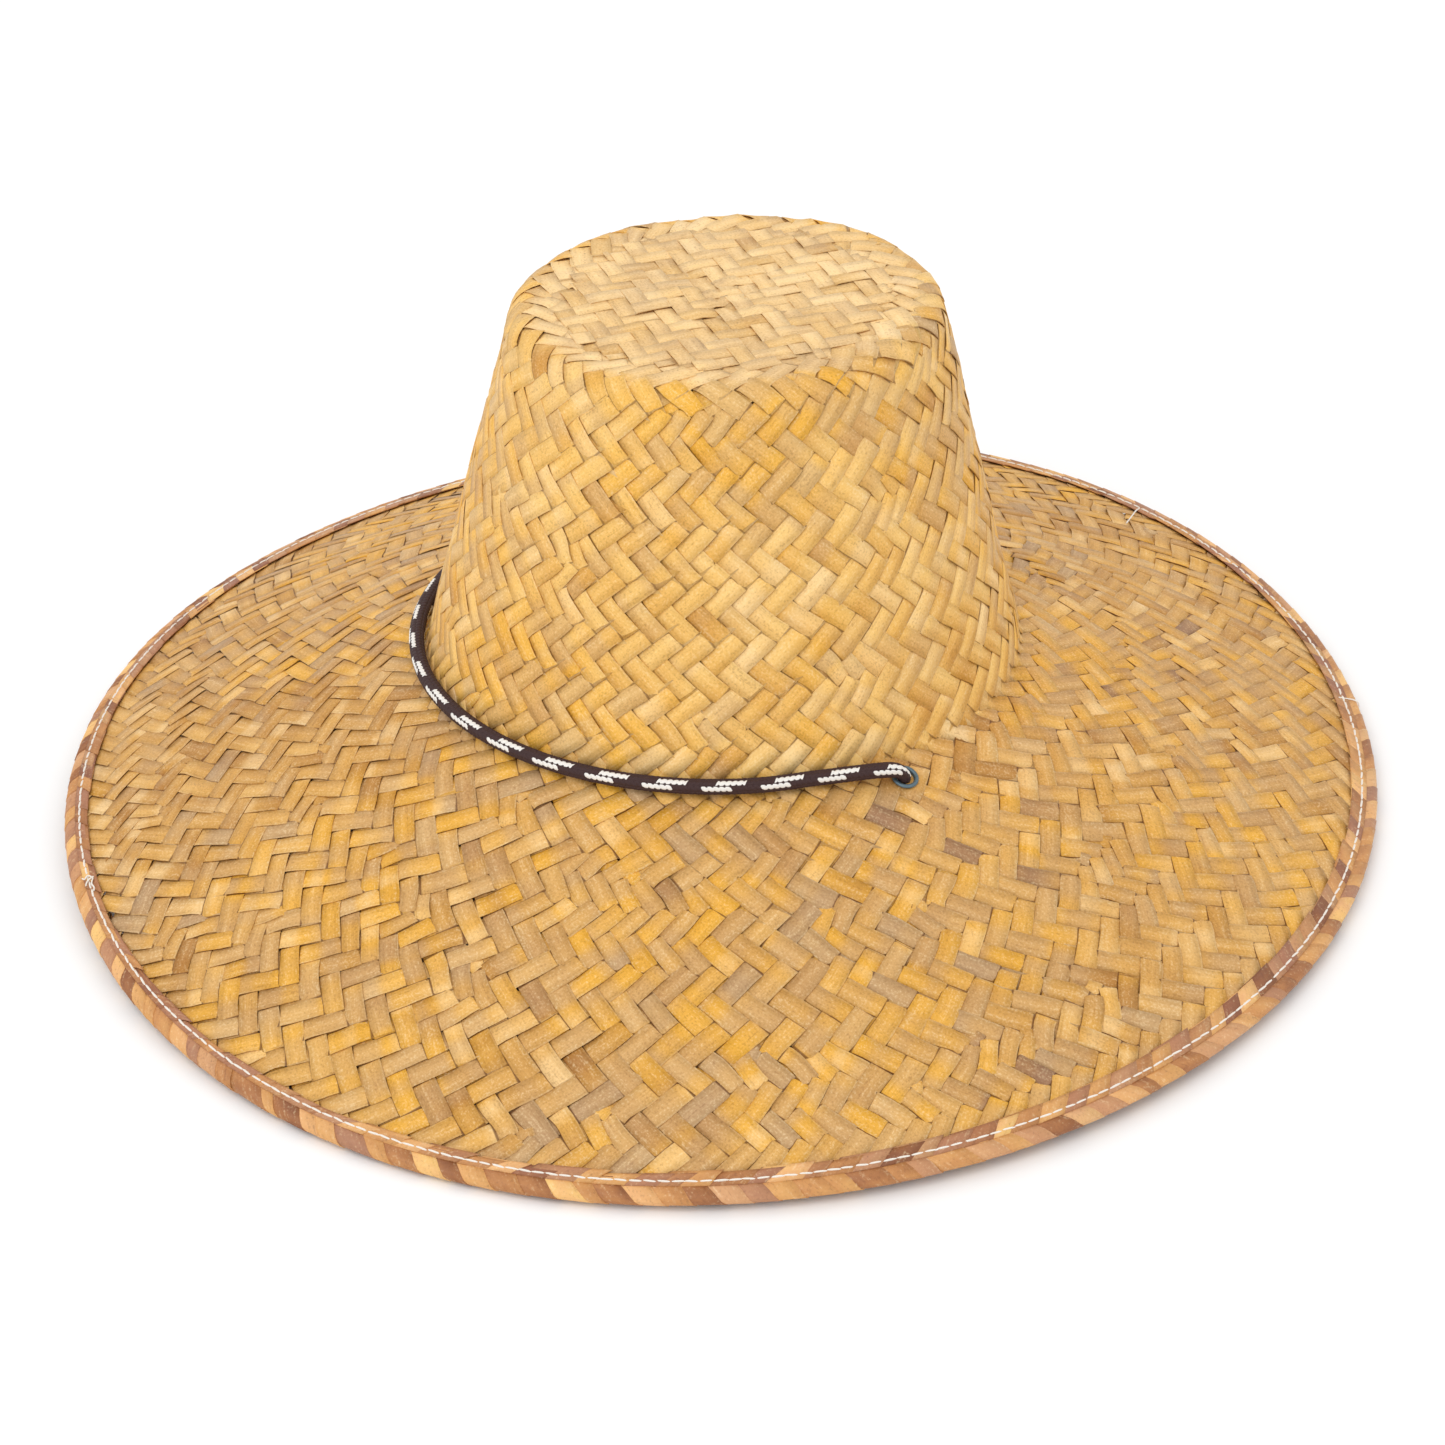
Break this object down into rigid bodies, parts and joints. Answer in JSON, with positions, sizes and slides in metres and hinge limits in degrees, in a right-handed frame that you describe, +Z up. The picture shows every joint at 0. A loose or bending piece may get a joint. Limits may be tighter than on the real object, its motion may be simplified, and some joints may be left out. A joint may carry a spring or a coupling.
{
  "type": "sun hat",
  "caption": "Wide-brimmed sun hat plaited from palm leaf, with a tall tapered flat-topped crown, a bound rim and an adjustable chin cord through two eyelets.",
  "frame": {"origin": "on the surface the hat stands on, under the middle of the round brim", "axes": "+Z up through the crown, -Y towards the front of the hat, +X towards the wearer's left, where eyelet_right is, on the right of someone who faces the hat"},
  "size_m": [0.4294, 0.4295, 0.1752],
  "materials": {
    "plaited_palm": "satin",
    "folded_palm": "satin",
    "white_thread": "matte",
    "grey_metal": "satin",
    "brown_braid": "matte",
    "bead_wood": "satin"
  },
  "bodies": {
    "hat": {"crown_tip": "plaited_palm", "crown_side": "plaited_palm", "brim": "plaited_palm", "rim_binding": "folded_palm", "rim_thread_top": "white_thread", "rim_thread_under": "white_thread", "eyelet_right": "grey_metal", "eyelet_left": "grey_metal", "eyelet_washer_right": "grey_metal", "eyelet_washer_left": "grey_metal", "chin_cord": "brown_braid", "cord_knot": "brown_braid"},
    "slider": {"cord_slider": "bead_wood"}
  },
  "joints": [
    {"name": "slider_travel", "type": "slide", "parent": "hat", "child": "slider", "axis": [0, 1, 0], "range_m": [0, 0.075]}
  ]
}
